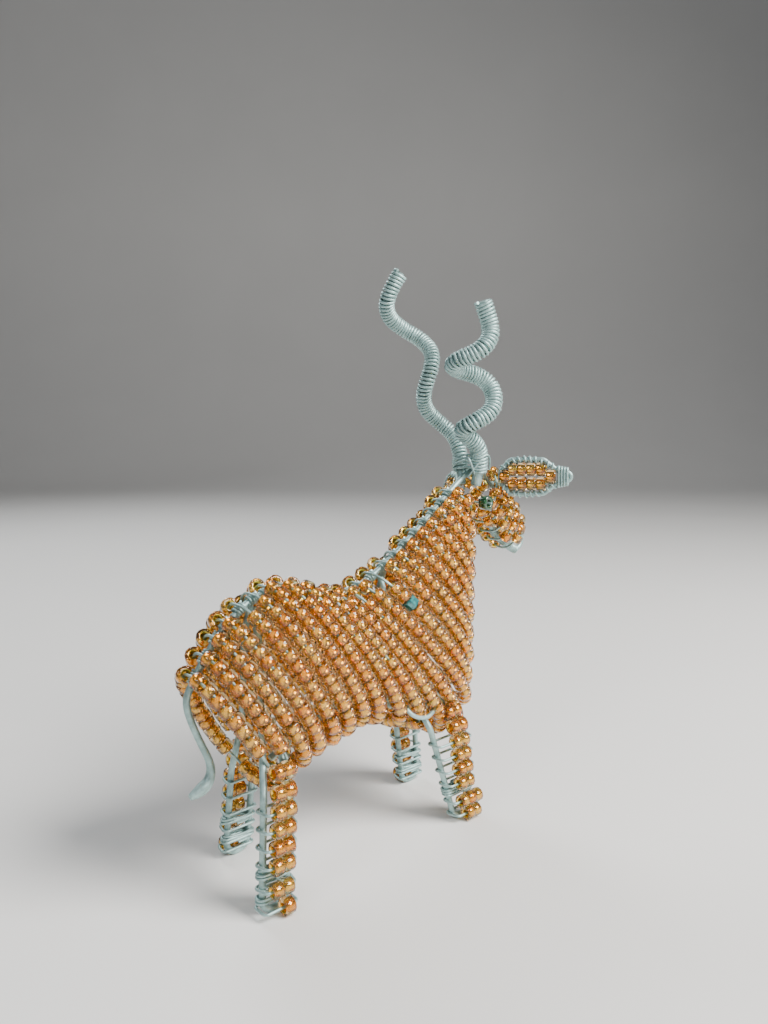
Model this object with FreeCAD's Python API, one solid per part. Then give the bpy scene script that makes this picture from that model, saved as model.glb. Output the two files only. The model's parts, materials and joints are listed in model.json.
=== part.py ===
import FreeCAD, Part
import math
import os

# A small kudu antelope made of glass beads. The beads are threaded on thin wire, and the
# threads are tied round an armature of thick bent wire, which also makes the tail and horns.
# Millimetres. X runs from tail to nose, Y to the animal's left, Z up; the hoofs stand on Z = 0.

os.makedirs("parts", exist_ok=True)
V = FreeCAD.Vector

BEAD_D = 3.05           # outside diameter of a glass bead
BEAD_L = 2.0            # its length along the hole
BEAD_HOLE = 1.0         # diameter of the hole
BEAD_END = 0.95         # radius of the flat round the hole
BEAD_BELT = 0.45        # half the length of the widest stretch
BEAD_GAP = 0.05         # least air between two beads
FRAME_WIRE = 1.25       # thick wire of the armature
EAR_WIRE = 1.0          # wire round an ear
TIE_WIRE = 0.5          # thin wire that threads the beads and ties them down
CLEAR = 0.1             # air between a tie and the wire that it goes round
HORN_CORE = 1.7         # wire inside a horn
HORN_OUTSIDE = 3.2      # outside diameter over the thin wire wound on a horn

SHIFT = V(-9.054, 0.974, 0.0)   # puts the middle of the finished figure over the origin

# Middle of the armature's long wire: the tail, the back and neck, then the forehead, a loop
# round the nose, and back along the jaw. Each point is (x, z) on the middle plane.
TAIL = [(-35.6, 19.9), (-33.6, 20.4), (-31.7, 21.8), (-31.4, 24.6), (-33.6, 29.4), (-35.4, 34.0),
        (-36.0, 37.0)]
BACK = [(-34.7, 39.6), (-32.4, 43.2), (-28.8, 47.8), (-24.2, 51.6), (-19.4, 53.3), (-14.4, 53.0),
        (-9.0, 50.9), (-3.0, 49.7), (3.4, 51.5), (11.5, 56.1), (19.5, 61.8), (27.5, 68.0), (35.0, 73.4)]
FACE = [(39.6, 72.4), (46.0, 66.2), (53.0, 58.8), (54.4, 55.4), (52.0, 53.0), (48.2, 54.8), (43.0, 59.0),
        (39.0, 63.4)]

# The bead hoops of the body and neck: hoop number, x of its top on the back wire, x and z of
# its bottom, and half its width. Hoops between two rows of the table are spread evenly.
HOOP_TABLE = [(1, -34.4, -21.4, 18.8, 8.5), (4, -28.0, -12.4, 23.0, 10.0), (7, -19.3, -2.1, 25.8, 10.9),
              (8, -15.6, 2.0, 25.2, 10.9), (10, -7.6, 13.5, 21.0, 10.7), (11, -3.9, 20.1, 18.4, 10.4),
              (12, -0.9, 25.6, 18.6, 9.9), (13, 2.2, 28.6, 22.4, 9.4), (15, 9.0, 29.8, 31.0, 8.2),
              (18, 17.6, 30.6, 44.4, 6.4), (20, 23.0, 31.2, 53.6, 5.4), (22, 27.9, 31.8, 64.0, 4.4)]
HOOPS = 22
HOOP_FULLNESS = 0.8     # below 1 squares the hoops' shoulders
HOOP_LOW = 0.2          # moves their widest place down
OVER_BACK = 0.1         # air between a hoop's thread and the back wire under it
TIE_SPREAD = 0.75       # a back tie stands this far each side of its thread
ACCENT_HOOP = 14        # one odd bead sits in this hoop,
ACCENT_PLACE = V(10.0, -7.6, 48.3)      # nearest to this place

# Smaller hoops round the head: the same columns.
HEAD_TABLE = [(1, 40.1, 36.2, 63.6, 4.9), (3, 45.4, 41.0, 58.8, 4.3), (5, 50.3, 46.5, 54.4, 3.2)]
HEAD_HOOPS = 5

LEG_OUT = 2.2           # how far a leg's beads stand outside its two wires
LACE_END = 0.45         # a lacing loop turns this far past its beads
LACE_SLANT = 0.25       # and stands this much further off the wires
FOOT_Z = 0.6            # middle of the wire under a hoof, filed flat underneath
# Each leg is a hairpin of frame wire. rear and front give (x, distance from the middle plane, z)
# from inside the body down to the hoof; rows give (z, number of beads, shift forward).
LEGS = {
    "right_hind": dict(side=-1, hang=-23.6,
                       rear=[(-25.0, 6.2, 28.5), (-27.4, 10.0, 20.4), (-28.1, 10.0, FOOT_Z)],
                       front=[(-23.3, 10.0, FOOT_Z), (-22.4, 10.0, 19.6), (-21.3, 6.0, 27.5)],
                       rows=[(5.0, 2, 0.0), (9.1, 2, 0.0), (12.22, 2, 0.0), (15.34, 2, 0.0), (18.46, 2, 0.1)],
                       ties=[2.7, 3.3, 7.0, 7.6]),
    "left_hind": dict(side=1, hang=-21.4,
                      rear=[(-21.4, 6.2, 27.5), (-21.6, 10.0, 17.0), (-23.2, 10.0, FOOT_Z)],
                      front=[(-18.6, 10.0, FOOT_Z), (-16.8, 10.0, 16.0), (-14.4, 6.0, 26.5)],
                      rows=[(1.62, 2, 0.0), (5.6, 2, 0.0), (8.72, 2, 0.0), (11.84, 2, 0.0), (14.96, 2, 0.0)],
                      ties=[3.3, 3.9, 7.2]),
    "right_fore": dict(side=-1, hang=6.4,
                       rear=[(11.3, 5.8, 28.0), (12.9, 9.6, 21.6), (20.2, 9.6, FOOT_Z)],
                       front=[(25.0, 9.6, FOOT_Z), (22.2, 9.6, 20.6), (18.5, 5.8, 27.0)],
                       rows=[(1.62, 2, 1.0), (4.75, 3, 1.0), (8.9, 2, 0.4), (12.02, 2, 0.6), (15.14, 2, 0.8),
                             (18.26, 2, 1.0)],
                       ties=[6.3, 6.9, 7.5]),
    "left_fore": dict(side=1, hang=11.6,
                      rear=[(17.0, 5.8, 27.0), (21.0, 9.6, 18.0), (23.4, 9.6, FOOT_Z)],
                      front=[(28.2, 9.6, FOOT_Z), (27.0, 9.6, 18.0), (23.4, 5.8, 25.5)],
                      rows=[(1.62, 2, 0.0), (5.4, 2, 0.0), (8.52, 2, 0.0), (11.64, 2, 0.0), (14.76, 2, 0.0)],
                      ties=[3.1, 3.7, 6.9]),
}
LOOSE_BEAD_Z = 1.6      # the single bead at the bottom of the right hind hoof
LOOSE_BEAD_X = -24.6
LOOSE_OUT = 2.5

# Each horn's core from its foot beside the neck wire to its tip; the winding starts past the first bend.
RIGHT_HORN = [(35.0, -1.7, 69.9), (35.1, -2.35, 72.9), (34.9, -3.2, 76.4), (32.7, -3.4, 79.4),
              (28.9, -2.2, 81.8), (28.8, -5.4, 83.2), (32.6, -7.9, 85.6), (34.4, -7.4, 88.8),
              (34.6, -5.6, 92.0), (32.4, -3.9, 93.8), (26.8, -1.8, 95.0), (24.8, -4.4, 96.2),
              (27.4, -8.7, 98.0), (29.8, -9.6, 100.4), (30.8, -9.0, 103.6), (28.8, -8.4, 108.4)]
LEFT_HORN = [(34.2, 1.7, 69.9), (34.4, 2.35, 72.9), (35.2, 3.1, 77.2), (35.3, 5.6, 81.2),
             (32.7, 8.4, 84.2), (29.2, 8.8, 87.0), (26.9, 6.8, 90.6), (27.5, 5.2, 94.8),
             (29.5, 6.4, 99.0), (29.6, 10.2, 102.2), (26.4, 13.4, 104.7), (22.0, 13.4, 107.0),
             (19.4, 10.8, 110.8), (21.6, 8.6, 115.6)]

# Each ear: the middle of its root, then the way it points. The left one droops.
EARS = {"right": (V(38.4, -5.9, 71.7), V(0.5, -0.85, 0.02)),
        "left": (V(37.2, 5.9, 70.2), V(0.40, 0.71, -0.58))}
EAR_LEAF = [(0.0, 1.2), (2.2, 3.8), (9.4, 3.75), (12.4, 1.3), (15.2, 0.75)]     # out along the ear, half height
EAR_BEADS = [2.8, 4.86, 6.92, 8.98]        # how far out the beads of each of its two rows sit
EAR_ROW = 1.58                          # a row's distance from the ear's middle line
EAR_TIES = [12.7, 13.3, 13.9, 14.5]     # thin wire wound round the ear's narrow end
EYE = (33.5, 6.0, 66.2)         # x, distance from the middle plane, z
CROWN = V(34.6, 0.0, 70.6)      # middle of the lowest turn that binds the horns
# each turn that binds the horns: height, half length, half width, tilt in degrees
CROWN_TURNS = [(0.0, 1.7, 3.1, 0), (3.9, 2.5, 5.2, 4), (4.8, 2.5, 5.3, -2)]
BELLY = [(-19.4, 22.0), (-11.6, 25.6), (-2.4, 28.6), (3.0, 28.0), (12.2, 24.0), (19.0, 21.6), (24.0, 22.4),
         (27.0, 30.0), (27.8, 42.0), (28.6, 53.0), (28.9, 60.4)]


def flat(points):
    return [V(x, 0.0, z) for x, z in points]


def blend(table, number):
    # the row of the table for this number, with the rows between given ones spread evenly
    for low, high in zip(table, table[1:]):
        if number <= high[0]:
            share = (number - low[0]) / (high[0] - low[0])
            return [a + share * (b - a) for a, b in zip(low, high)][1:]


def bend(before, corner, after, radius):
    # the tangent arc at one corner of a path: its start, middle and end
    u = (before - corner)
    v = (after - corner)
    half = u.getAngle(v) / 2
    setback = min(radius / math.tan(half), 0.48 * min(u.Length, v.Length))
    u.normalize()
    v.normalize()
    inward = (u + v).normalize()
    centre = corner + inward * (setback / math.cos(half))
    middle = centre - inward * (setback * math.tan(half))
    return corner + u * setback, middle, corner + v * setback


def path(points, radius, closed=False):
    # straight runs joined by tangent arcs
    count = len(points)
    corners = range(count) if closed else range(1, count - 1)
    arcs = [bend(points[i - 1], points[i], points[(i + 1) % count], radius) for i in corners]
    at = arcs[-1][2] if closed else points[0]
    edges = []
    for start, middle, end in arcs:
        edges.append(Part.makeLine(at, start))
        edges.append(Part.Arc(start, middle, end).toShape())
        at = end
    if not closed:
        edges.append(Part.makeLine(at, points[-1]))
    return Part.Wire(edges)


def sweep(route, diameter):
    first = route.Edges[0]
    ring = Part.makeCircle(diameter / 2, first.Vertexes[0].Point, first.tangentAt(first.FirstParameter))
    return route.makePipeShell([Part.Wire(ring)], True, False)


def bent_wire(points, diameter, radius, closed=False):
    return sweep(path(points, radius, closed), diameter)


def along(route, step=0.1):
    return route.discretize(Distance=step)


def turned(shape, axis, place):
    # a copy of a shape modelled along Z, turned to lie along axis at place
    copy = shape.copy()
    copy.Placement = FreeCAD.Placement(place, FreeCAD.Rotation(V(0, 0, 1), axis))
    return copy


def make_bead():
    profile = [V(BEAD_HOLE / 2, 0, -BEAD_L / 2), V(BEAD_END, 0, -BEAD_L / 2), V(BEAD_D / 2, 0, -BEAD_BELT),
               V(BEAD_D / 2, 0, BEAD_BELT), V(BEAD_END, 0, BEAD_L / 2), V(BEAD_HOLE / 2, 0, BEAD_L / 2)]
    face = Part.Face(Part.makePolygon(profile + profile[:1]))
    return face.revolve(V(0, 0, 0), V(0, 0, 1), 360)


BEAD = make_bead()
BEADS = []              # (place, axis) of every bead so far, so that none runs into another
OBSTACLES = []          # (point, radius) along every thick wire
LONG_WIRE = path(flat(TAIL + BACK + FACE), 3.0)
SPINE = along(LONG_WIRE, 0.1)


def block(route, diameter):
    OBSTACLES.extend((p, diameter / 2) for p in along(route, 0.4))


def fits(place, axis):
    # true where a bead clears every bead and thick wire so far
    for other, _ in BEADS[-400:]:
        gap = other - place
        if gap.Length < BEAD_D + BEAD_GAP:
            length = abs(gap.dot(axis))
            across = math.sqrt(max(gap.Length ** 2 - length ** 2, 0.0))
            if length < BEAD_L and across < BEAD_D + BEAD_GAP:
                return False
            if length < BEAD_L + BEAD_GAP and across < BEAD_END:
                return False
            if across < BEAD_D and length < BEAD_L * 0.96:
                return False
    for point, radius in OBSTACLES:
        gap = point - place
        if gap.Length < 3.0:
            length = abs(gap.dot(axis))
            across = math.sqrt(max(gap.Length ** 2 - length ** 2, 0.0))
            if length < BEAD_L / 2 + radius and across < BEAD_D / 2 + radius + BEAD_GAP:
                return False
    return True


def string(route, keep):
    # beads one after another along a route; keep(point) says where beads may sit
    points = along(route, 0.05)
    reach = int(BEAD_L / 2 / 0.05)
    row = []
    i = reach
    while i < len(points) - reach:
        place = points[i]
        axis = (points[i + reach] - points[i - reach]).normalize()
        if keep(place) and (not row or follows(row[-1], place, axis)):
            if fits(place, axis):
                row.append((place, axis))
        i += 1
    BEADS.extend(row)
    return row


def follows(last, place, axis):
    # true once a bead is far enough along from the one before for their ends to clear
    half = last[1].getAngle(axis) / 2
    least = BEAD_L * math.cos(half) + 2 * BEAD_END * math.sin(half) + BEAD_GAP
    return (place - last[0]).Length >= least


def beads(row):
    return [turned(BEAD, axis, place) for place, axis in row]


def save(name, shapes):
    group = Part.makeCompound(list(shapes))
    group.translate(SHIFT)
    group.exportStep("parts/" + name + ".step")
    volume = sum(s.Volume for s in group.Solids)
    print(name, len(group.Solids), "solids", round(volume, 2), "mm3")


def loop(start, bottom, half_width, sides):
    # an egg-shaped loop in the plane that holds Y, start and bottom
    length = (bottom - start).Length
    down = (bottom - start) / length
    points = []
    for k in range(sides):
        turn = 2 * math.pi * (k + 0.5) / sides
        drop = length * (1 - math.cos(turn) / math.cos(math.pi / sides)) / 2
        wide = abs(math.sin(turn)) ** HOOP_FULLNESS * (1 - HOOP_LOW * math.cos(turn))
        points.append(start + down * drop - V(0, half_width * math.copysign(wide, math.sin(turn)), 0))
    return path(points, 4.0, closed=True)


def on_back(x):
    # the point of the back wire at this x, and the way it runs there
    for before, after in zip(SPINE, SPINE[1:]):
        if before.z > BACK[0][1] - 1.0 and before.x <= x < after.x:
            return before, (after - before).normalize()


def hoop_start(table, number):
    # where a hoop's thread crosses over the back wire, and the way that the wire runs there
    top_x, bottom_x, bottom_z, _ = blend(table, number)
    top, forward = on_back(top_x)
    upward = V(-forward.z, 0, forward.x)
    reach = (FRAME_WIRE + TIE_WIRE) / 2 + OVER_BACK
    lean = (top - V(bottom_x, 0, bottom_z)).normalize()
    start = top + lean * (reach / lean.dot(upward))
    return start, start - upward * reach, forward


def tie(place, axis, wire_diameter):
    # one turn of thin wire round a thick one
    radius = (wire_diameter + TIE_WIRE) / 2 + CLEAR
    return turned(Part.makeTorus(radius, TIE_WIRE / 2), axis, place)


def leg_points(leg):
    # the hairpin, from the back wire down the rear side, under the hoof and up the front
    side = leg["side"]
    hang = on_back(leg["hang"])[0] + V(0, side * (FRAME_WIRE + TIE_WIRE + CLEAR), -0.5)
    under = hang + V(-0.2, side * 2.4, -7.0)
    line = [V(x, side * y, z) for x, y, z in leg["rear"] + leg["front"]]
    return [hang, under] + line


def wire_x(leg, which, z):
    # x of the rear or front wire of a leg at this height
    line = sorted((p[2], p[0]) for p in leg[which])
    for (za, xa), (zb, xb) in zip(line, line[1:]):
        if z <= zb:
            return xa + (xb - xa) * (z - za) / (zb - za)


def lacing(leg, z, wires, ends, out):
    # a flat loop of thin wire round both wires of a leg, from ends[0] to ends[1] on its outer side
    side = leg["side"]
    plane = leg["rear"][-1][1]
    inner = plane - (FRAME_WIRE + TIE_WIRE) / 2 - CLEAR
    corners = [(wires[0], inner), (wires[1], inner), (ends[1], plane + out), (ends[0], plane + out)]
    return bent_wire([V(x, side * y, z) for x, y in corners], TIE_WIRE, 0.85, closed=True)


def build_leg(name, leg):
    side = leg["side"]
    close = (FRAME_WIRE + TIE_WIRE) / 2 + CLEAR
    row_beads = []
    laces = []
    for z, count, shift in leg["rows"]:
        rear = wire_x(leg, "rear", z)
        front = wire_x(leg, "front", z)
        middle = (rear + front) / 2 + shift
        span = count * (BEAD_L + BEAD_GAP)
        row = []
        for k in range(count):
            place = V(middle - span / 2 + (k + 0.5) * (BEAD_L + BEAD_GAP), side * (leg["rear"][-1][1] + LEG_OUT), z)
            if fits(place, V(1, 0, 0)):
                row.append((place, V(1, 0, 0)))
        BEADS.extend(row)
        row_beads += row
        wires = (rear - close - LACE_SLANT, front + close + LACE_SLANT)
        ends = (min(middle - span / 2, rear) - LACE_END, max(middle + span / 2, front) + LACE_END)
        laces.append(lacing(leg, z, wires, ends, LEG_OUT))
    for z in leg["ties"]:
        wires = (wire_x(leg, "rear", z) - close, wire_x(leg, "front", z) + close)
        laces.append(lacing(leg, z, wires, wires, close))
    save(name + "_leg_beads", beads(row_beads))
    return laces


def build_armature():
    block(LONG_WIRE, FRAME_WIRE)
    save("back_wire", [sweep(LONG_WIRE, FRAME_WIRE)])
    belly_route = path(flat(BELLY), 4.0)
    block(belly_route, FRAME_WIRE)
    save("belly_wire", [sweep(belly_route, FRAME_WIRE)])
    ground = Part.makeBox(100, 60, 5, V(-50, -30, -5))
    for name, leg in LEGS.items():
        route = path(leg_points(leg), 2.2)
        block(route, FRAME_WIRE)
        save(name + "_leg_wire", [sweep(route, FRAME_WIRE).cut(ground)])


def build_horns():
    for name, points in (("right", RIGHT_HORN), ("left", LEFT_HORN)):
        route = path([V(*p) for p in points], 3.2)
        block(route, HORN_CORE)
        save(name + "_horn_core", [sweep(route, HORN_CORE)])
        wound = Part.Wire(route.Edges[2:])
        skin = sweep(wound, HORN_OUTSIDE).cut(sweep(wound, HORN_CORE + 2 * CLEAR))
        save(name + "_horn_winding", [skin])


def build_hoops():
    threads = []
    for number in range(1, HOOPS + 1):
        bottom_x, bottom_z, half_width = blend(HOOP_TABLE, number)[1:]
        start, top, _ = hoop_start(HOOP_TABLE, number)
        route = loop(start, V(bottom_x, 0, bottom_z), half_width, 20)
        room = BEAD_L / 2 + FRAME_WIRE / 2 + TIE_WIRE + 4 * CLEAR
        row = string(route, lambda p: (p - top).Length > room)
        threads.append(sweep(route, TIE_WIRE))
        if number == ACCENT_HOOP:
            odd = min(row, key=lambda bead: (bead[0] - ACCENT_PLACE).Length)
            row.remove(odd)
            save("accent_bead", beads([odd]))
        save("body_hoop_%02d" % number, beads(row))
    save("body_threads", threads)


def build_head():
    threads = []
    for number in range(1, HEAD_HOOPS + 1):
        bottom_x, bottom_z, half_width = blend(HEAD_TABLE, number)[1:]
        start = hoop_start(HEAD_TABLE, number)[0]
        route = loop(start, V(bottom_x, 0, bottom_z), half_width, 14)
        row = string(route, lambda p: True)
        threads.append(sweep(route, TIE_WIRE))
        save("head_hoop_%d" % number, beads(row))
    save("head_threads", threads)


def build_ear(name, side):
    # a leaf of wire with rows of beads across it, tied at the tip
    root, out = EARS[name]
    out = V(out).normalize()
    up = V(0.12, side * 0.1, 1.0)
    up = (up - out * up.dot(out)).normalize()
    leaf = [(a, -b) for a, b in EAR_LEAF] + [(a, b) for a, b in reversed(EAR_LEAF)]
    route = path([root + out * a + up * b for a, b in leaf], 1.2, closed=True)
    block(route, EAR_WIRE)
    save(name + "_ear_wire", [sweep(route, EAR_WIRE)])
    row = [(root + out * a + up * b, out) for b in (-EAR_ROW, EAR_ROW) for a in EAR_BEADS]
    BEADS.extend(row)
    save(name + "_ear_beads", beads(row))
    start = EAR_BEADS[0] - BEAD_L / 2 - CLEAR
    thread = Part.makeCylinder(TIE_WIRE / 2, EAR_BEADS[-1] - EAR_BEADS[0] + BEAD_L + 2 * CLEAR)
    threads = [turned(thread, out, root + out * start + up * b) for b in (-EAR_ROW, EAR_ROW)]
    across = up.cross(out)
    thick = (EAR_WIRE + TIE_WIRE) / 2 + CLEAR
    (low_a, low_b), (high_a, high_b) = EAR_LEAF[-2:]
    for a in EAR_TIES:
        tall = low_b + (high_b - low_b) * (a - low_a) / (high_a - low_a) + thick + CLEAR
        corners = [up * tall + across * thick, up * tall - across * thick,
                   up * -tall - across * thick, up * -tall + across * thick]
        threads.append(bent_wire([root + out * a + c for c in corners], TIE_WIRE, 0.7, closed=True))
    save(name + "_ear_thin_wire", threads)


def build_legs():
    for name, leg in LEGS.items():
        laces = build_leg(name, leg)
        if name == "right_hind":
            laces.append(build_loose_bead(leg))
        save(name + "_leg_lacing", laces)


def build_loose_bead(leg):
    # one bead hangs loose on its own turn of wire and can spin on it
    side = leg["side"]
    place = V(LOOSE_BEAD_X, side * (leg["rear"][-1][1] + LOOSE_OUT), LOOSE_BEAD_Z)
    save("loose_hoof_bead", beads([(place, V(1, 0, 0))]))
    reach = (FRAME_WIRE + TIE_WIRE) / 2 + CLEAR
    wires = (leg["rear"][-1][0] - reach, leg["front"][0][0] + reach)
    return lacing(leg, LOOSE_BEAD_Z, wires, wires, LOOSE_OUT)


def build_eyes():
    x, y, z = EYE
    wire = Part.makeCylinder(TIE_WIRE / 2, 2 * y + 3.2, V(x, -y - 1.6, z), V(0, 1, 0))
    save("eye_wire", [wire])
    for name, side in (("right", -1), ("left", 1)):
        save(name + "_eye_bead", beads([(V(x, side * y, z), V(0, 1, 0))]))


def build_bindings():
    # thin wire wound round the back wire on each side of every hoop's thread
    ties = []
    for number in range(1, HOOPS + 1):
        _, middle, forward = hoop_start(HOOP_TABLE, number)
        for offset in (-TIE_SPREAD, TIE_SPREAD):
            place, along_wire = on_back((middle + forward * offset).x)
            ties.append(tie(place, along_wire, FRAME_WIRE))
    save("back_bindings", ties)


def build_crown():
    # turns of thin wire round the two horns' feet and the neck wire
    turns = []
    for height, half_x, half_y, tilt in CROWN_TURNS:
        corners = [V(-half_x, -half_y, 0), V(half_x, -half_y, 0), V(half_x, half_y, 0), V(-half_x, half_y, 0)]
        turn = bent_wire(corners, TIE_WIRE, 1.2, closed=True)
        turn.Placement = FreeCAD.Placement(CROWN + V(0, 0, height), FreeCAD.Rotation(V(0, 1, 0), tilt))
        turns.append(turn)
    save("crown_binding", turns)


build_armature()
build_horns()
build_hoops()
build_ear("right", -1)
build_ear("left", 1)
build_head()
build_eyes()
build_legs()
build_bindings()
build_crown()
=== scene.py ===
import json
import math

import bpy
import numpy as np
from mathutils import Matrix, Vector


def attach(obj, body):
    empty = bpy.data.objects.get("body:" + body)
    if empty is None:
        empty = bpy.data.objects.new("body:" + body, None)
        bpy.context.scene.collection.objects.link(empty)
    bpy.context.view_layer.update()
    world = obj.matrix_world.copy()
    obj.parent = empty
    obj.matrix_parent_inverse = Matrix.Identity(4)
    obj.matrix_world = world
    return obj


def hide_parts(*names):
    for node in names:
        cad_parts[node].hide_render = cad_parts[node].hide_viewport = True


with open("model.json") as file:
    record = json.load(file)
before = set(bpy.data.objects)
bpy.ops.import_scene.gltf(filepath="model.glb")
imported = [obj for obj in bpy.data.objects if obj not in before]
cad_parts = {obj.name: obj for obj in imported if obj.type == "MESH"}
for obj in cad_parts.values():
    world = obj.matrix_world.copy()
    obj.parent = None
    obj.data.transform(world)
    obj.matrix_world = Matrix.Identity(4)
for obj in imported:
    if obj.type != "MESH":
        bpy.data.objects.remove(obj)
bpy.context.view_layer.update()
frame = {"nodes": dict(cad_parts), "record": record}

nodes = frame["nodes"]
bodyOf = {node: body for body, group in frame["record"]["behaviour"]["bodies"].items() for node in group}
middle = Vector((-9.054, 0.974, 0.0))       # the figure's own middle plane and zero, in millimetres


def at(x, y, z):
    # a point given in millimetres from the figure's own zero, in the frame's metres
    return (Vector((x, y, z)) + middle) * 0.001


class Wire:
    # an output socket that can stand in a sum; other may be a number, a vector or another Wire
    def __init__(self, tree, socket):
        self.tree = tree
        self.socket = socket

    def sum(self, operation, first, second):
        vectors = [isVector(first), isVector(second)]
        if operation == "MULTIPLY" and vectors[0] != vectors[1]:
            vector, number = (first, second) if vectors[0] else (second, first)
            return add(self.tree, "ShaderNodeVectorMath", {"operation": "SCALE"},
                       {0: vector, "Scale": number})
        kind = "ShaderNodeVectorMath" if any(vectors) else "ShaderNodeMath"
        return add(self.tree, kind, {"operation": operation}, {0: first, 1: second})

    def __add__(self, other): return self.sum("ADD", self, other)
    def __radd__(self, other): return self.sum("ADD", other, self)
    def __sub__(self, other): return self.sum("SUBTRACT", self, other)
    def __rsub__(self, other): return self.sum("SUBTRACT", other, self)
    def __mul__(self, other): return self.sum("MULTIPLY", self, other)
    def __rmul__(self, other): return self.sum("MULTIPLY", other, self)
    def __truediv__(self, other): return self.sum("DIVIDE", self, other)
    def __rtruediv__(self, other): return self.sum("DIVIDE", other, self)


def isVector(value):
    if isinstance(value, Wire):
        return value.socket.type == "VECTOR"
    return isinstance(value, (tuple, Vector))


def pick(sockets, key):
    # a socket by its number, or the first one in use with that name
    if isinstance(key, int):
        return sockets[key]
    return next(s for s in sockets if s.name == key and s.enabled)


def add(tree, kind, settings=None, inputs=None, output=None):
    # a node with its settings made first, then its sockets given values or links
    node = tree.nodes.new(kind)
    for name, value in (settings or {}).items():
        if name == "stops":
            ramp = node.color_ramp
            while len(ramp.elements) < len(value):
                ramp.elements.new(0.5)
            for element, (place, colour) in zip(ramp.elements, value):
                element.position = place
                element.color = (*colour, 1.0)
        else:
            setattr(node, name, value)
    for key, value in (inputs or {}).items():
        socket = pick(node.inputs, key)
        if isinstance(value, Wire):
            tree.links.new(value.socket, socket)
        elif socket.type == "RGBA":
            socket.default_value = (*value, 1.0)
        else:
            socket.default_value = value
    if not node.outputs:
        return node
    if output is None:
        return Wire(tree, next(s for s in node.outputs if s.enabled))
    return Wire(tree, pick(node.outputs, output))


def newMaterial(name):
    material = bpy.data.materials.new(name)
    material.use_nodes = True
    material.node_tree.nodes.clear()
    return material, material.node_tree


def finish(tree, settings):
    # the one Principled shader of a material
    shader = add(tree, "ShaderNodeBsdfPrincipled", {}, settings)
    add(tree, "ShaderNodeOutputMaterial", {}, {"Surface": shader})


def noise(tree, scale, detail=3.0, roughness=0.55):
    where = add(tree, "ShaderNodeTexCoord", output="Object")
    return add(tree, "ShaderNodeTexNoise", {}, {"Vector": where, "Scale": scale, "Detail": detail,
                                               "Roughness": roughness}, "Fac")


def ramp(tree, factor, *stops):
    return add(tree, "ShaderNodeValToRGB", {"stops": stops}, {"Fac": factor}, "Color")


def mix(tree, factor, a, b):
    return add(tree, "ShaderNodeMix", {"data_type": "RGBA"},
               {"Factor": factor, "A": a, "B": b})


def bump(tree, height, distance, strength):
    return add(tree, "ShaderNodeBump", {},
               {"Height": height, "Distance": distance, "Strength": strength}, "Normal")


wireFinish = {
    "pale": (0.43, 0.60, 0.585),        # clean zinc
    "dull": (0.22, 0.325, 0.31),        # where it has gone dull
    "metallic": 0.62,
    "patches": 420.0,                   # how fine the dull patches are
    "grain": 5200.0,
    "spots": 1500.0,
    "smoothest": 0.34,
    "roughness spread": 0.28,
    "relief": 0.00004,
    "thin wire": 1.12,                  # how much paler the thin wire is
}


def wireMaterial(name, shade):
    material, tree = newMaterial(name)
    patches = noise(tree, wireFinish["patches"])
    grain = noise(tree, wireFinish["grain"], 2.0)
    spots = noise(tree, wireFinish["spots"], 4.0, 0.7)
    dull = tuple(c * shade for c in wireFinish["dull"])
    pale = tuple(c * shade for c in wireFinish["pale"])
    colour = ramp(tree, patches * 0.65 + spots * 0.35, (0.32, dull), (0.62, pale))
    rough = wireFinish["smoothest"] + spots * wireFinish["roughness spread"]
    finish(tree, {"Base Color": colour, "Metallic": wireFinish["metallic"], "Roughness": rough,
                  "Normal": bump(tree, grain + spots * 1.5, wireFinish["relief"], 0.35)})
    return material


glassFinish = {
    "clear": (0.87, 0.67, 0.43),        # faint pink to brown
    "warm": (0.91, 0.59, 0.27),         # a little amber
    "through": 0.97,                    # share of the light that goes through
    "roughness": 0.03,
    "ior": 1.52,
    "gold": (1.0, 0.75, 0.14),
    "copper": (0.84, 0.42, 0.03),
    "ripple": 900.0,                    # how fine the waves of the glass are
    "ripple relief": 0.0001,
    "wear": 2600.0,                     # how fine the wear of the lining is
    "wear relief": 0.00006,
    "lining smoothest": 0.16,
    "lining spread": 0.2,
}


darkGlass = {
    "clouds": 1300.0,
    "relief": 0.00005,
    "green": ((0.006, 0.03, 0.012), (0.03, 0.12, 0.045)),       # deep and light
    "teal": ((0.01, 0.09, 0.10), (0.10, 0.42, 0.40)),
}


def glassMaterial():
    material, tree = newMaterial("clearGlass")
    tone = add(tree, "ShaderNodeAttribute", {"attribute_name": "tone"}, {}, "Fac")
    colour = mix(tree, tone, glassFinish["clear"], glassFinish["warm"])
    ripple = noise(tree, glassFinish["ripple"], 1.0)
    finish(tree, {"Base Color": colour, "IOR": glassFinish["ior"], "Roughness": glassFinish["roughness"],
                  "Transmission Weight": glassFinish["through"],
                  "Normal": bump(tree, ripple, glassFinish["ripple relief"], 0.25)})
    return material


def liningMaterial():
    material, tree = newMaterial("goldLining")
    tone = add(tree, "ShaderNodeAttribute", {"attribute_name": "tone"}, {}, "Fac")
    worn = noise(tree, glassFinish["wear"], 3.0, 0.6)
    colour = mix(tree, tone * 0.7 + worn * 0.3, glassFinish["gold"], glassFinish["copper"])
    rough = glassFinish["lining smoothest"] + worn * glassFinish["lining spread"]
    finish(tree, {"Base Color": colour, "Metallic": 0.95, "Roughness": rough,
                  "Normal": bump(tree, worn, glassFinish["wear relief"], 0.4)})
    return material


def darkGlassMaterial(name, deep, light):
    material, tree = newMaterial(name)
    cloud = noise(tree, darkGlass["clouds"], 3.0)
    colour = ramp(tree, cloud, (0.35, deep), (0.7, light))
    finish(tree, {"Base Color": colour, "Roughness": 0.06 + cloud * 0.06, "Coat Weight": 1.0,
                  "Coat Roughness": 0.03, "Metallic": 0.25,
                  "Normal": bump(tree, cloud, darkGlass["relief"], 0.2)})
    return material


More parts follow.
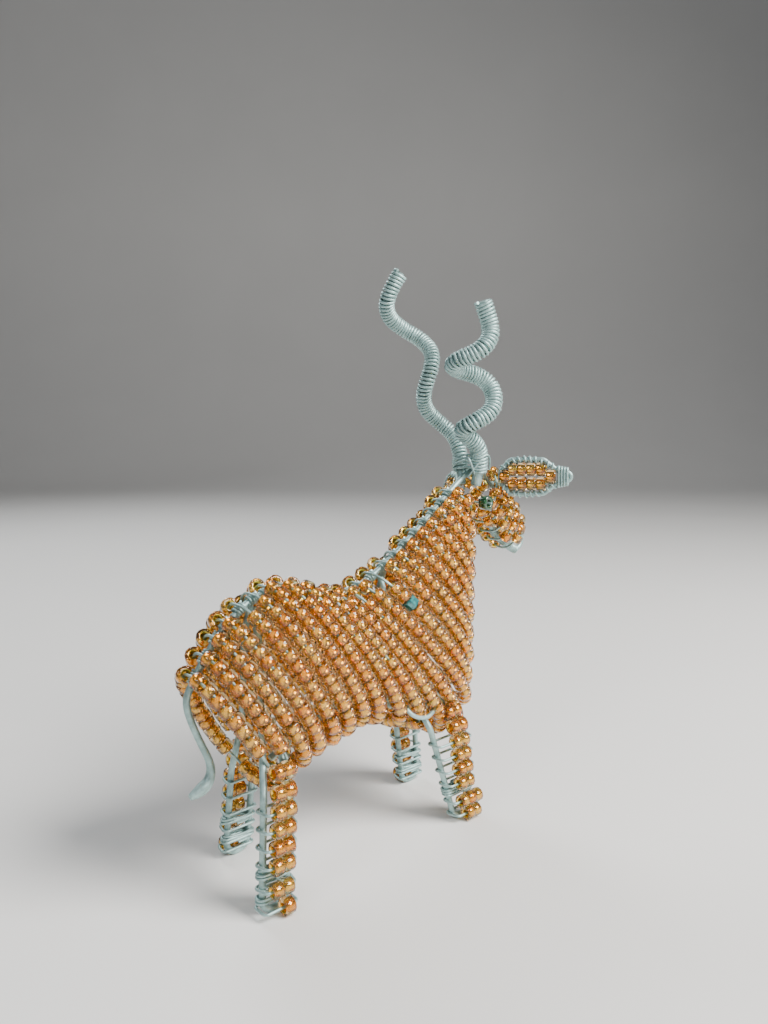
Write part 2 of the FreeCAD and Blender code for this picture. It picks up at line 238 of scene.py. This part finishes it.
zincThick = wireMaterial("zincThickWire", 1.0)
zincThin = wireMaterial("zincThinWire", wireFinish["thin wire"])
clearGlass = glassMaterial()
goldLining = liningMaterial()
darkGreen = darkGlassMaterial("darkGreenGlass", *darkGlass["green"])
tealGlass = darkGlassMaterial("tealGlass", *darkGlass["teal"])
print("materials made")


class Tree:
    # a geometry tree with named inputs; run() gives the plain mesh of an object put through it
    def __init__(self, name, sizes):
        self.tree = bpy.data.node_groups.new(name, "GeometryNodeTree")
        self.keys = {}
        self.tree.interface.new_socket(name="Geometry", in_out="INPUT", socket_type="NodeSocketGeometry")
        self.tree.interface.new_socket(name="Geometry", in_out="OUTPUT", socket_type="NodeSocketGeometry")
        kinds = {float: "NodeSocketFloat", int: "NodeSocketInt", tuple: "NodeSocketVector"}
        for label, value in sizes.items():
            socket = self.tree.interface.new_socket(name=label, in_out="INPUT",
                                                    socket_type=kinds[type(value)])
            socket.default_value = value
            self.keys[label] = socket.identifier
        self.entry = self.tree.nodes.new("NodeGroupInput")

    def input(self, name):
        return Wire(self.tree, pick(self.entry.outputs, name))

    def add(self, kind, settings=None, inputs=None, output=None):
        return add(self.tree, kind, settings, inputs, output)

    def random(self, low, high, seed):
        return self.add("FunctionNodeRandomValue", {"data_type": "FLOAT"},
                        {"Min": low, "Max": high, "Seed": seed})

    def end(self, geometry):
        add(self.tree, "NodeGroupOutput", {}, {"Geometry": geometry})

    def run(self, thing, sizes):
        bpy.context.scene.collection.objects.link(thing)
        modifier = thing.modifiers.new("shape", "NODES")
        modifier.node_group = self.tree
        for label, value in sizes.items():
            modifier[self.keys[label]] = value
        graph = bpy.context.evaluated_depsgraph_get()
        shape = bpy.data.meshes.new_from_object(thing.evaluated_get(graph))
        thing.modifiers.remove(modifier)
        bpy.data.objects.remove(thing)
        return shape


def islandTree():
    # numbers the separate solids of a node
    tree = Tree("islands", {"Weld": 1e-6})
    welded = tree.add("GeometryNodeMergeByDistance", {}, {"Geometry": tree.input("Geometry"),
                                                         "Distance": tree.input("Weld")})
    island = tree.add("GeometryNodeInputMeshIsland", {}, {}, "Island Index")
    tree.end(tree.add("GeometryNodeStoreNamedAttribute", {"data_type": "INT", "domain": "POINT"},
                      {"Geometry": welded, "Name": "island", "Value": island}))
    return tree


beadSizes = {
    "Width": 0.00322,           # over the glass
    "Length": 0.002,            # along the hole
    "Hole": 0.0015,             # across the gold lining
    "Round": 0.5,               # how far the ends are rounded, as a share of half the wall
    "Smallest": 0.93,           # the least bead as a share of the full size
    "Lean": 0.09,               # how far beads tilt on their thread
    "Seed": 4,
}


legWidth = 0.00303              # the beads of the legs and the single ones are a little smaller


def beadTree():
    tree = Tree("beads", beadSizes)
    width, length, hole = tree.input("Width"), tree.input("Length"), tree.input("Hole")
    seed = tree.input("Seed")
    wall = (width - hole) / 4.0
    ring = tree.add("GeometryNodeCurvePrimitiveCircle", {"mode": "RADIUS"},
                    {"Resolution": 12, "Radius": (width + hole) / 4.0})
    section = tree.add("GeometryNodeCurvePrimitiveQuadrilateral", {"mode": "RECTANGLE"},
                       {"Width": wall * 2.0, "Height": length})
    section = tree.add("GeometryNodeFilletCurve", {"mode": "POLY"},
                       {"Curve": section, "Count": 1, "Radius": wall * tree.input("Round")})
    bead = tree.add("GeometryNodeCurveToMesh", {}, {"Curve": ring, "Profile Curve": section})
    place = tree.add("GeometryNodeInputPosition")
    flat = tree.add("ShaderNodeVectorMath", {"operation": "MULTIPLY"}, {0: place, 1: (1.0, 1.0, 0.0)})
    radius = tree.add("ShaderNodeVectorMath", {"operation": "LENGTH"}, {0: flat}, "Value")
    inside = tree.add("FunctionNodeCompare", {"data_type": "FLOAT", "operation": "LESS_THAN"},
                      {"A": radius, "B": hole / 2.0 + wall * 0.35})
    bead = tree.add("GeometryNodeSetMaterial", {}, {"Geometry": bead, "Material": clearGlass})
    bead = tree.add("GeometryNodeSetMaterial", {},
                    {"Geometry": bead, "Selection": inside, "Material": goldLining})
    bead = tree.add("GeometryNodeSetShadeSmooth", {}, {"Geometry": bead})
    axis = tree.add("GeometryNodeInputNamedAttribute", {"data_type": "FLOAT_VECTOR"}, {"Name": "axis"})
    lean = tree.add("FunctionNodeRandomValue", {"data_type": "FLOAT_VECTOR"},
                    {"Min": (-1.0, -1.0, -1.0), "Max": (1.0, 1.0, 1.0), "Seed": seed})
    turn = tree.add("FunctionNodeAlignRotationToVector", {"axis": "Z"},
                    {"Vector": axis + lean * tree.input("Lean")})
    size = tree.random(tree.input("Smallest"), 1.0, seed)
    made = tree.add("GeometryNodeInstanceOnPoints", {},
                    {"Points": tree.input("Geometry"), "Instance": bead, "Rotation": turn, "Scale": size})
    made = tree.add("GeometryNodeStoreNamedAttribute", {"data_type": "FLOAT", "domain": "INSTANCE"},
                    {"Geometry": made, "Name": "tone", "Value": tree.random(0.0, 1.0, seed)})
    tree.end(tree.add("GeometryNodeRealizeInstances", {}, {"Geometry": made}))
    return tree


def strandTree(material):
    # a wire along each curve, or wound round it where Turn is more than nothing
    tree = Tree("strand", {"Step": 0.0005, "Wire": 0.00025, "Turn": 0.0, "Pitch": 0.0006,
                           "Reach": (0.0, 0.0, 0.0), "Wander": 0.0, "Wander size": 300.0, "Sides": 8})
    step = tree.input("Step")
    curve = tree.add("GeometryNodeResampleCurve", {"mode": "LENGTH"},
                     {"Curve": tree.input("Geometry"), "Length": step})
    tangent = tree.add("GeometryNodeInputTangent")
    normal = tree.add("GeometryNodeInputNormal")
    side = tree.add("ShaderNodeVectorMath", {"operation": "CROSS_PRODUCT"}, {0: tangent, 1: normal})
    length = tree.add("GeometryNodeSplineParameter", {}, {}, "Length")
    place = tree.add("GeometryNodeInputPosition")
    wander = tree.add("ShaderNodeTexNoise", {"noise_dimensions": "3D"},
                      {"Vector": place, "Scale": tree.input("Wander size"), "Detail": 1.0}, "Color")
    wander = tree.add("ShaderNodeVectorMath", {"operation": "SUBTRACT"}, {0: wander, 1: (0.5, 0.5, 0.5)})
    uneven = tree.add("ShaderNodeTexNoise", {"noise_dimensions": "1D"},
                      {"W": length * 900.0, "Scale": 1.0, "Detail": 1.0}, "Fac")
    angle = length / tree.input("Pitch") * (2 * math.pi) + (uneven - 0.5) * 2.2
    cosine = tree.add("ShaderNodeMath", {"operation": "COSINE"}, {0: angle})
    sine = tree.add("ShaderNodeMath", {"operation": "SINE"}, {0: angle})
    way = normal * cosine + side * sine
    reach = tree.input("Reach")
    unit = tree.add("ShaderNodeVectorMath", {"operation": "NORMALIZE"}, {0: reach})
    share = tree.add("ShaderNodeVectorMath", {"operation": "DOT_PRODUCT"}, {0: unit, 1: way}, "Value")
    offset = way * tree.input("Turn") + reach * share + wander * (tree.input("Wander") * 2.0)
    curve = tree.add("GeometryNodeSetPosition", {}, {"Geometry": curve, "Offset": offset})
    section = tree.add("GeometryNodeCurvePrimitiveCircle", {"mode": "RADIUS"},
                       {"Resolution": tree.input("Sides"), "Radius": tree.input("Wire")})
    radius = tree.add("GeometryNodeInputRadius")
    wire = tree.add("GeometryNodeCurveToMesh", {},
                    {"Curve": curve, "Profile Curve": section, "Scale": radius, "Fill Caps": True})
    wire = tree.add("GeometryNodeSetShadeSmooth", {}, {"Geometry": wire})
    wire = tree.add("GeometryNodeRealizeInstances", {}, {"Geometry": wire})
    tree.end(tree.add("GeometryNodeSetMaterial", {}, {"Geometry": wire, "Material": material}))
    return tree


islands = islandTree()
beads = beadTree()
thickStrand = strandTree(zincThick)
thinStrand = strandTree(zincThin)
print("geometry trees made")


def piece(name, shape, body, replaced=()):
    thing = bpy.data.objects.new(name, shape)
    bpy.context.scene.collection.objects.link(thing)
    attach(thing, body)
    if replaced:
        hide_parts(*replaced)
    return thing


def beadPlaces(node):
    # the middle and the axis of every bead of a node
    copy = bpy.data.objects.new("count", nodes[node].data.copy())
    shape = islands.run(copy, {})
    count = len(shape.vertices)
    points = np.empty(count * 3)
    shape.vertices.foreach_get("co", points)
    points = points.reshape(-1, 3)
    island = np.empty(count, np.int32)
    shape.attributes["island"].data.foreach_get("value", island)
    bpy.data.meshes.remove(shape)
    places = []
    for number in range(island.max() + 1):
        own = points[island == number]
        spread, ways = np.linalg.eigh(np.cov((own - own.mean(0)).T))
        odd = 0 if spread[1] - spread[0] > spread[2] - spread[1] else 2
        places.append((own.mean(0), ways[:, odd]))
    return places


def pointCloud(places):
    shape = bpy.data.meshes.new("places")
    shape.from_pydata([tuple(p) for p, _ in places], [], [])
    axis = shape.attributes.new("axis", "FLOAT_VECTOR", "POINT")
    axis.data.foreach_set("vector", np.array([a for _, a in places], np.float32).ravel())
    return bpy.data.objects.new("places", shape)


def makeBeads():
    for number, node in enumerate(sorted(nodes)):
        if not ("hoop" in node or node.endswith("beads") or node.endswith("bead")) or node in oddBeads:
            continue
        places = beadPlaces(node)
        low = "leg" in node or len(places) == 1
        width = legWidth if low else beadSizes["Width"]
        shape = beads.run(pointCloud(places), {"Seed": number, "Width": width})
        piece("glass_" + node, shape, bodyOf[node], [node])


def line(points, radii=None):
    # a smooth curve by its control points; several curves where points is a list of lists
    data = bpy.data.curves.new("line", "CURVE")
    data.dimensions = "3D"
    groups = points if isinstance(points[0], list) else [points]
    for group in groups:
        spline = data.splines.new("NURBS")
        spline.points.add(len(group) - 1)
        for k, point in enumerate(group):
            spline.points[k].co = (*point, 1.0)
            spline.points[k].radius = radii[k] if radii else 1.0
        spline.order_u = min(3, len(group))
        spline.use_endpoint_u = True
        spline.resolution_u = 12
    return bpy.data.objects.new("line", data)


oddBeads = {
    "right_eye_bead": darkGreen,
    "left_eye_bead": darkGreen,
    "accent_bead": tealGlass,
}


def makeOddBeads():
    # the dark eyes are round beads, and one bead of the neck is a cut one
    for node, material in oddBeads.items():
        (centre, axis), = beadPlaces(node)
        shape = beads.run(pointCloud([(centre, axis)]), {"Smallest": 1.0, "Lean": 0.0})
        shape.materials.clear()
        shape.materials.append(material)
        shape.polygons.foreach_set("material_index", [0] * len(shape.polygons))
        if node == "accent_bead":
            shape.polygons.foreach_set("use_smooth", [False] * len(shape.polygons))
        piece("glass_" + node, shape, bodyOf[node], [node])


horn = {
    "right core": 0.0012,       # radius of the wire inside
    "left core": 0.0009,
    "right turn": 0.00164,      # middle of the winding
    "left turn": 0.00148,
    "wire": 0.00033,
    "pitch": 0.00073,
    "right": [(35.0, -1.7, 69.9), (35.1, -2.35, 72.9), (34.9, -3.2, 76.4), (32.7, -3.4, 79.4),
              (28.9, -2.2, 81.8), (28.8, -5.4, 83.2), (32.6, -7.9, 85.6), (34.4, -7.4, 88.8),
              (34.6, -5.6, 92.0), (32.4, -3.9, 93.8), (26.8, -1.8, 95.0), (24.8, -4.4, 96.2),
              (27.4, -8.7, 98.0), (29.8, -9.6, 100.4), (30.8, -9.0, 103.6), (28.8, -8.4, 108.4)],
    "left": [(34.2, 1.7, 69.9), (34.4, 2.35, 72.9), (35.2, 3.1, 77.2), (35.3, 5.6, 81.2),
             (32.7, 8.4, 84.2), (29.2, 8.8, 87.0), (26.9, 6.8, 90.6), (27.5, 5.2, 94.8),
             (29.5, 6.4, 99.0), (29.6, 10.2, 102.2), (26.4, 13.4, 104.7), (22.0, 13.4, 107.0),
             (19.4, 10.8, 110.8), (21.6, 8.6, 115.5)],
}


def makeHorns():
    for side in ("right", "left"):
        points = [at(*p) for p in horn[side]]
        core = thickStrand.run(line(points), {"Step": 0.0006, "Wire": horn[side + " core"], "Sides": 10})
        piece(side + "_horn_rod", core, "figure", [side + "_horn_core"])
        wound = thinStrand.run(line(points[1:]), {"Step": horn["pitch"] / 11, "Wire": horn["wire"],
                                                  "Turn": horn[side + " turn"], "Pitch": horn["pitch"],
                                                  "Sides": 6,
                                                  "Wander": 0.00006, "Wander size": 900.0})
        piece(side + "_horn_coil", wound, "figure", [side + "_horn_winding"])


legTops = {         # rows of two beads above a leg's highest row, measured from it in millimetres
    "right_hind": [(0.3, 0.4, 3.1), (0.9, 1.6, 6.1)],
    "left_hind": [(0.3, -0.4, 3.1), (0.9, -1.6, 6.1)],
    "right_fore": [(-0.3, 0.5, 3.1), (-0.8, 1.6, 6.0)],
    "left_fore": [(-0.3, -0.5, 3.1), (-0.8, -1.6, 6.0)],
}


def makeLegTops():
    for number, (leg, steps) in enumerate(legTops.items()):
        places = sorted(beadPlaces(leg + "_leg_beads"), key=lambda place: place[0][2])[-2:]
        rows = [(centre + np.array(step) * 0.001, axis) for step in steps for centre, axis in places]
        shape = beads.run(pointCloud(rows), {"Seed": 100 + number})
        piece("glass_" + leg + "_leg_top", shape, "figure")


makeBeads()
makeOddBeads()
makeLegTops()
print("beads made")
makeHorns()
print("horns made")


longWire = {
    "radius": 0.000625,
    "tail": [(-35.6, 19.9), (-33.6, 20.4), (-31.7, 21.8), (-31.4, 24.6), (-33.6, 29.4),
             (-35.4, 34.0), (-36.0, 37.0)],
    "back": [(-34.7, 39.6), (-32.4, 43.2), (-28.8, 47.8), (-24.2, 51.6), (-19.4, 53.3),
             (-14.4, 53.0), (-9.0, 50.9), (-3.0, 49.7), (3.4, 51.5), (11.5, 56.1), (19.5, 61.8),
             (27.5, 68.0), (35.0, 73.4)],
    "face": [(39.6, 72.4), (46.0, 66.2), (53.0, 58.8), (54.4, 55.4), (52.0, 53.0), (48.2, 54.8),
             (43.0, 59.0), (39.0, 63.4)],
    "jaw": [(51.6, 53.4), (48.2, 54.8), (43.0, 59.0)],
    "tip": [0.9, 2.0, 1.5, 1.1],        # the tail's hammered end
    "wrap turn": 0.00084,
    "wrap pitch": 0.00048,
    "wrap over": 0.25,      # how far a wrap runs past the CAD's two turns, as a share of their distance
}


def makeLongWire():
    places = longWire["tail"] + longWire["back"] + longWire["face"]
    points = [at(x, 0, z) for x, z in places]
    radii = longWire["tip"] + [1.0] * (len(points) - len(longWire["tip"]))
    shape = thickStrand.run(line(points, radii), {"Wire": longWire["radius"], "Sides": 12})
    piece("spine_wire", shape, "figure", ["back_wire"])
    turns = sorted((Vector(centre) for centre, _ in beadPlaces("back_bindings")), key=lambda p: p.x)
    wraps = []
    for first, last in zip(turns[::2], turns[1::2]):
        over = (last - first) * longWire["wrap over"]
        wraps.append([first - over, (first + last) / 2, last + over])
    wraps.append([at(x, 0, z) for x, z in longWire["jaw"]])
    shape = thinStrand.run(line(wraps), {"Step": longWire["wrap pitch"] / 12, "Wire": 0.00021,
                                         "Turn": longWire["wrap turn"], "Pitch": longWire["wrap pitch"],
                                         "Sides": 6, "Wander": 0.0002, "Wander size": 500.0})
    piece("spine_wrap", shape, "figure", ["back_bindings"])


hoofWraps = {       # middle x, y and half width of a leg's wires, then the heights wrapped; millimetres
    "right_hind": (-25.6, -10.0, 3.2, [(3.9, 5.0), (6.5, 8.0)]),
    "left_hind": (-20.8, 10.0, 3.2, [(2.8, 4.5), (6.6, 8.0)]),
    "right_fore": (22.2, -9.6, 3.2, [(5.8, 8.2)]),
    "left_fore": (25.6, 9.6, 3.2, [(2.6, 4.4), (6.4, 7.6)]),
    "depth": 1.0,
    "pitch": 0.52,
    "lean": 0.2,
}


def makeHoofWraps():
    for leg in ("right_hind", "left_hind", "right_fore", "left_fore"):
        x, y, half, heights = hoofWraps[leg]
        lean = hoofWraps["lean"]
        lines = [[at(x - lean, y, low), at(x, y, (low + high) / 2), at(x + lean, y, high)]
                 for low, high in heights]
        depth = hoofWraps["depth"] * 0.001
        shape = thinStrand.run(line(lines), {"Step": 0.00002, "Wire": 0.00022, "Turn": depth,
                                             "Reach": (half * 0.001 - depth, 0.0, 0.0),
                                             "Pitch": hoofWraps["pitch"] * 0.001, "Sides": 6,
                                             "Wander": 0.0006, "Wander size": 420.0})
        piece(leg + "_hoof_wrap", shape, "figure")


crown = {
    "lines": [[(34.8, 0.0, 73.0), (34.9, 0.1, 73.9), (35.0, 0.2, 74.7)],
              [(33.8, -0.4, 73.4), (34.6, 0.2, 74.4), (35.4, 0.4, 75.2)]],
    "half length": 2.0,
    "half width": 4.3,
    "pitch": 0.8,
    "loops": [[(33.6, -2.6, 72.2), (31.4, -3.4, 75.2), (31.9, -1.2, 76.9), (34.2, -0.4, 75.4),
               (36.2, -1.0, 73.4)],
              [(37.6, -3.4, 73.2), (36.6, -4.6, 75.9), (34.8, -4.8, 76.9), (33.2, -3.8, 74.6),
               (32.6, -1.6, 71.8)],
              [(37.0, 2.8, 72.8), (36.0, 4.4, 75.0), (33.6, 4.4, 75.2), (32.8, 2.0, 72.6)]],
}


def makeCrown():
    lines = [[at(*p) for p in group] for group in crown["lines"]]
    turn = crown["half length"] * 0.001
    shape = thinStrand.run(line(lines), {"Step": 0.00002, "Wire": 0.00025, "Turn": turn,
                                         "Reach": (0.0, crown["half width"] * 0.001 - turn, 0.0),
                                         "Pitch": crown["pitch"] * 0.001, "Sides": 6,
                                         "Wander": 0.0009, "Wander size": 260.0})
    piece("crown_tangle", shape, "figure", ["crown_binding"])
    loops = [[at(*p) for p in group] for group in crown["loops"]]
    shape = thinStrand.run(line(loops), {"Step": 0.0002, "Wire": 0.00022, "Sides": 6})
    piece("crown_loops", shape, "figure")


ear = {
    "right": ((38.4, -5.9, 71.7), (0.5, -0.85, 0.02), -1),      # root, way it points, side
    "left": ((37.2, 5.9, 70.2), (0.40, 0.71, -0.58), 1),
    "rim": [(0.0, 1.2), (2.2, 3.8), (9.4, 3.75), (12.4, 1.3)],  # out along the ear, half height
    "pitch": 0.00125,
    "end beads": [0.9, 11.0],       # how far out one more bead sits at each end of the two rows
}


def makeEarWraps():
    for side in ("right", "left"):
        root, out, sign = ear[side]
        out = Vector(out).normalized()
        up = Vector((0.12, sign * 0.1, 1.0))
        up = (up - out * up.dot(out)).normalized()
        rims = [[at(*(Vector(root) + out * a + up * b * edge)) for a, b in ear["rim"]] for edge in (1, -1)]
        shape = thinStrand.run(line(rims), {"Step": ear["pitch"] / 14, "Wire": 0.00022, "Turn": 0.00072,
                                            "Pitch": ear["pitch"], "Sides": 6, "Wander": 0.0003,
                                            "Wander size": 700.0})
        piece(side + "_ear_wrap", shape, "figure")
        ends = [(np.array(at(*(Vector(root) + out * reach))), np.array(out)) for reach in ear["end beads"]]
        shape = beads.run(pointCloud(ends), {"Seed": 200 + sign})
        piece("glass_" + side + "_ear_ends", shape, "figure")


strayLoop = {       # a bare end of wire bent round the foot of one row of beads
    "radius": 0.00042,
    "route": [(5.6, -8.6, 29.4), (5.4, -10.6, 27.4), (8.3, -11.4, 25.5), (12.3, -11.0, 25.3),
              (15.2, -9.3, 26.9)],
}


def makeStrayLoop():
    route = [at(*p) for p in strayLoop["route"]]
    shape = thinStrand.run(line(route), {"Wire": strayLoop["radius"], "Sides": 10})
    piece("stray_loop", shape, "figure")


makeLongWire()
makeStrayLoop()
makeHoofWraps()
makeCrown()
makeEarWraps()
for node in sorted(nodes):
    thing = nodes[node]
    if thing.hide_render:
        continue
    thick = node in ("belly_wire",) or node.endswith("leg_wire") or node.endswith("ear_wire")
    thing.material_slots[0].material = zincThick if thick else zincThin
print("wires made")


view = {
    "place": (-104.25, -113.53, 82.0),      # millimetres
    "way": (0.673, 0.740),
    "down": 6.09,                           # degrees
    "lens": 27.04,
}


studio = {
    "floor": (0.80, 0.79, 0.77),
    "floor size": 4.0,
    "bend": 0.9,                # how far behind the figure the floor turns up
    "bend radius": 0.5,
    "bend steps": 12,
    "wall": 1.6,
    "sky": (0.86, 0.90, 0.96),
    "sky strength": 0.12,
    "lights": {                 # place, size, power and colour
        "window": ((0.18, -0.40, 0.44), 0.34, 9.0, (1.0, 0.98, 0.95)),
        "fill": ((-0.55, -0.15, 0.45), 0.2, 0.8, (0.85, 0.93, 1.0)),
        "back": ((0.05, 0.55, 0.50), 0.25, 2.4, (0.95, 0.98, 1.0)),
    },
}


def makeFloor():
    # a pale sheet that runs back and up in one soft bend
    away = Vector((*view["way"], 0.0))
    across = Vector((away.y, -away.x, 0.0))
    rows = [away * -studio["floor size"] / 2]
    radius = studio["bend radius"]
    for k in range(studio["bend steps"] + 1):
        turn = math.pi / 2 * k / studio["bend steps"]
        height = radius * (1 - math.cos(turn))
        rows.append(away * (studio["bend"] + radius * math.sin(turn)) + Vector((0, 0, height)))
    rows.append(away * (studio["bend"] + radius) + Vector((0, 0, studio["wall"])))
    half = across * studio["floor size"] / 2
    points = [tuple(row + end) for row in rows for end in (-half, half)]
    faces = [(2 * k, 2 * k + 1, 2 * k + 3, 2 * k + 2) for k in range(len(rows) - 1)]
    shape = bpy.data.meshes.new("floor")
    shape.from_pydata(points, [], faces)
    shape.polygons.foreach_set("use_smooth", [True] * len(faces))
    material, tree = newMaterial("paleFloor")
    cloud = noise(tree, 6.0, 2.0)
    low = tuple(c * 0.97 for c in studio["floor"])
    finish(tree, {"Base Color": ramp(tree, cloud, (0.3, low), (0.7, studio["floor"])), "Roughness": 0.6})
    shape.materials.append(material)
    thing = bpy.data.objects.new("floor", shape)
    bpy.context.scene.collection.objects.link(thing)


def makeLight(name, place, size, power, colour):
    light = bpy.data.lights.new(name, "AREA")
    light.shape = "DISK"
    light.size = size
    light.energy = power
    light.color = colour
    thing = bpy.data.objects.new(name, light)
    thing.location = place
    thing.rotation_euler = (Vector((0, 0, 0.05)) - Vector(place)).to_track_quat("-Z", "Y").to_euler()
    bpy.context.scene.collection.objects.link(thing)


def makeStudio():
    makeFloor()
    for name, light in studio["lights"].items():
        makeLight(name, *light)
    world = bpy.data.worlds.new("sky")
    bpy.context.scene.world = world
    world.use_nodes = True
    sky = world.node_tree.nodes["Background"]
    sky.inputs["Color"].default_value = (*studio["sky"], 1.0)
    sky.inputs["Strength"].default_value = studio["sky strength"]


def makeCamera():
    camera = bpy.data.cameras.new("camera")
    camera.lens = view["lens"]
    camera.sensor_width = 36.0
    camera.clip_start = 0.005
    thing = bpy.data.objects.new("camera", camera)
    thing.location = Vector(view["place"]) * 0.001
    dip = math.radians(view["down"])
    aim = Vector((view["way"][0] * math.cos(dip), view["way"][1] * math.cos(dip), -math.sin(dip)))
    thing.rotation_euler = aim.to_track_quat("-Z", "Y").to_euler()
    bpy.context.scene.collection.objects.link(thing)
    bpy.context.scene.camera = thing


makeStudio()
makeCamera()
bpy.context.view_layer.update()
